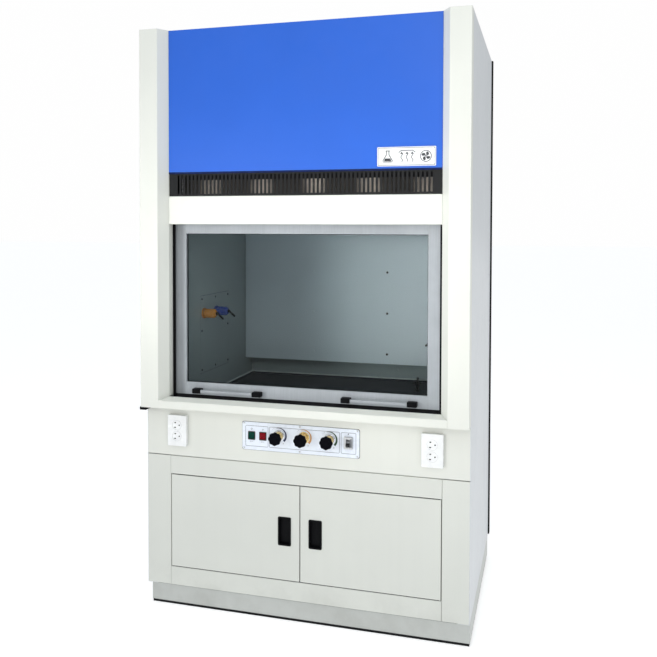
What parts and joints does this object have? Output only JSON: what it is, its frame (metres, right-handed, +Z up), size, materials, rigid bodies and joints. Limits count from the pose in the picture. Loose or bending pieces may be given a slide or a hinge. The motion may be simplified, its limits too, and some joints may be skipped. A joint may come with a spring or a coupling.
{
  "type": "fume hood",
  "caption": "Floor-standing laboratory fume hood with a counterbalanced sliding glass sash, lined work chamber, front service valves and a two-door base cabinet.",
  "frame": {"origin": "centre of the footprint, on the floor", "axes": "+Z up, -Y towards the user, +X to the user's right"},
  "size_m": [1.212, 0.9, 2.205],
  "materials": {
    "white_enamel": "satin warm-white baked enamel",
    "blue_enamel": "semi-gloss blue baked enamel",
    "black_enamel": "satin black baked enamel",
    "lamp_tray_enamel": "matt white enamel",
    "phenolic_liner": "semi-matt grey phenolic laminate",
    "phenolic_top": "satin black chemical-resistant resin",
    "sash_aluminium": "satin anodised aluminium",
    "sash_glass": "clear toughened glass",
    "lamp_glass": "frosted lamp window",
    "lamp_tube": "opal fluorescent tube",
    "black_rubber": "matt black rubber",
    "black_plastic": "matt black moulded plastic",
    "switch_case": "light grey moulded plastic",
    "green_plastic": "glossy green plastic",
    "red_plastic": "glossy red plastic",
    "white_plastic": "glossy white plastic",
    "plate_enamel": "satin printed control plate",
    "valve_brass": "polished brass",
    "steel": "bright zinc-plated steel",
    "pulley_nylon": "natural nylon",
    "cast_weight": "black-painted cast iron",
    "gas_orange": "glossy orange epoxy",
    "air_blue": "glossy blue epoxy",
    "water_green": "glossy green epoxy",
    "brass": "plain brass"
  },
  "bodies": {
    "casing": {"plinth": "white_enamel", "floor_and_wall_seals": "black_rubber", "levelling_feet": "steel", "cabinet_carcass": "white_enamel", "cabinet_face_frame": "white_enamel", "cabinet_shelf": "white_enamel", "hinge_pins_and_catches": "steel", "apron_panel": "white_enamel", "control_plate": "plate_enamel", "socket_outlets": "white_plastic", "valve_bodies": "valve_brass", "switch_bodies": "switch_case", "right_post": "white_enamel", "left_post": "white_enamel", "front_sill": "white_enamel", "header_valance": "white_enamel", "bypass_grille": "black_enamel", "upper_front_panel": "blue_enamel", "label_plate": "white_plastic", "side_panels": "white_enamel", "rear_panel": "white_enamel", "roof_panel": "white_enamel", "exhaust_collar": "steel", "worktop": "phenolic_top", "cup_sink": "phenolic_top", "left_liner": "phenolic_liner", "right_liner": "phenolic_liner", "rear_baffle": "phenolic_liner", "chamber_ceiling": "lamp_tray_enamel", "lamp_window": "lamp_glass", "lamp_tube": "lamp_tube", "gas_outlet": "gas_orange", "air_outlet": "air_blue", "water_outlet": "water_green", "service_nozzles": "black_plastic", "service_pipes": "brass", "rear_connections": "brass", "sash_guides": "black_plastic", "pulley_axles": "steel", "sash_cables": "steel", "panel_screws": "steel"},
    "sash": {"sash_frame": "sash_aluminium", "sash_glass": "sash_glass", "sash_bumper": "black_rubber", "sash_grips": "sash_aluminium", "sash_grip_mounts": "black_plastic"},
    "left_weight": {"left_counterweight": "cast_weight"},
    "right_weight": {"right_counterweight": "cast_weight"},
    "left_wheel": {"left_pulley": "pulley_nylon"},
    "right_wheel": {"right_pulley": "pulley_nylon"},
    "left_cabinet_door": {"left_door": "white_enamel", "left_door_pull": "black_plastic"},
    "right_cabinet_door": {"right_door": "white_enamel", "right_door_pull": "black_plastic"},
    "air_valve": {"air_knob": "black_plastic"},
    "gas_valve": {"gas_knob": "black_plastic"},
    "water_valve": {"water_knob": "black_plastic"},
    "light_switch": {"light_rocker": "green_plastic"},
    "blower_switch": {"blower_rocker": "red_plastic"},
    "breaker": {"breaker_lever": "black_plastic"}
  },
  "joints": [
    {"name": "sash_slide", "type": "slide", "parent": "casing", "child": "sash", "axis": [0, 0, 1], "range_m": [0, 0.58], "deforming": ["sash_cables"]},
    {"name": "left_weight_slide", "type": "slide", "parent": "casing", "child": "left_weight", "axis": [0, 0, -1], "range_m": [0, 0.58]},
    {"name": "right_weight_slide", "type": "slide", "parent": "casing", "child": "right_weight", "axis": [0, 0, -1], "range_m": [0, 0.58]},
    {"name": "left_pulley_spin", "type": "hinge", "parent": "casing", "child": "left_wheel", "pos_m": [-0.51, -0.363, 2.085], "axis": [0, -1, 0], "range_deg": [0, 832]},
    {"name": "right_pulley_spin", "type": "hinge", "parent": "casing", "child": "right_wheel", "pos_m": [0.51, -0.363, 2.085], "axis": [0, 1, 0], "range_deg": [0, 832]},
    {"name": "left_door_hinge", "type": "hinge", "parent": "casing", "child": "left_cabinet_door", "pos_m": [-0.4975, -0.39, 0.334], "axis": [0, 0, -1], "range_deg": [0, 110]},
    {"name": "right_door_hinge", "type": "hinge", "parent": "casing", "child": "right_cabinet_door", "pos_m": [0.4975, -0.39, 0.334], "axis": [0, 0, 1], "range_deg": [0, 110]},
    {"name": "light_rocker_tilt", "type": "hinge", "parent": "casing", "child": "light_switch", "pos_m": [-0.182, -0.3915, 0.676], "axis": [1, 0, 0], "range_deg": [0, 12]},
    {"name": "blower_rocker_tilt", "type": "hinge", "parent": "casing", "child": "blower_switch", "pos_m": [-0.139, -0.3915, 0.676], "axis": [1, 0, 0], "range_deg": [0, 12]},
    {"name": "breaker_lever_tilt", "type": "hinge", "parent": "casing", "child": "breaker", "pos_m": [0.178, -0.395, 0.676], "axis": [-1, 0, 0], "range_deg": [0, 45]},
    {"name": "air_valve_turn", "type": "hinge", "parent": "casing", "child": "air_valve", "pos_m": [-0.0775, -0.427, 0.682], "axis": [0, -1, 0], "range_deg": [0, 270]},
    {"name": "gas_valve_turn", "type": "hinge", "parent": "casing", "child": "gas_valve", "pos_m": [0.0155, -0.427, 0.682], "axis": [0, -1, 0], "range_deg": [0, 270]},
    {"name": "water_valve_turn", "type": "hinge", "parent": "casing", "child": "water_valve", "pos_m": [0.11, -0.427, 0.682], "axis": [0, -1, 0], "range_deg": [0, 270]}
  ],
  "couplings": [
    {"joint": "left_weight_slide", "follows": "sash_slide", "ratio": 1},
    {"joint": "right_weight_slide", "follows": "sash_slide", "ratio": 1},
    {"joint": "left_pulley_spin", "follows": "sash_slide", "rad_per_m": 25},
    {"joint": "right_pulley_spin", "follows": "sash_slide", "rad_per_m": 25}
  ]
}
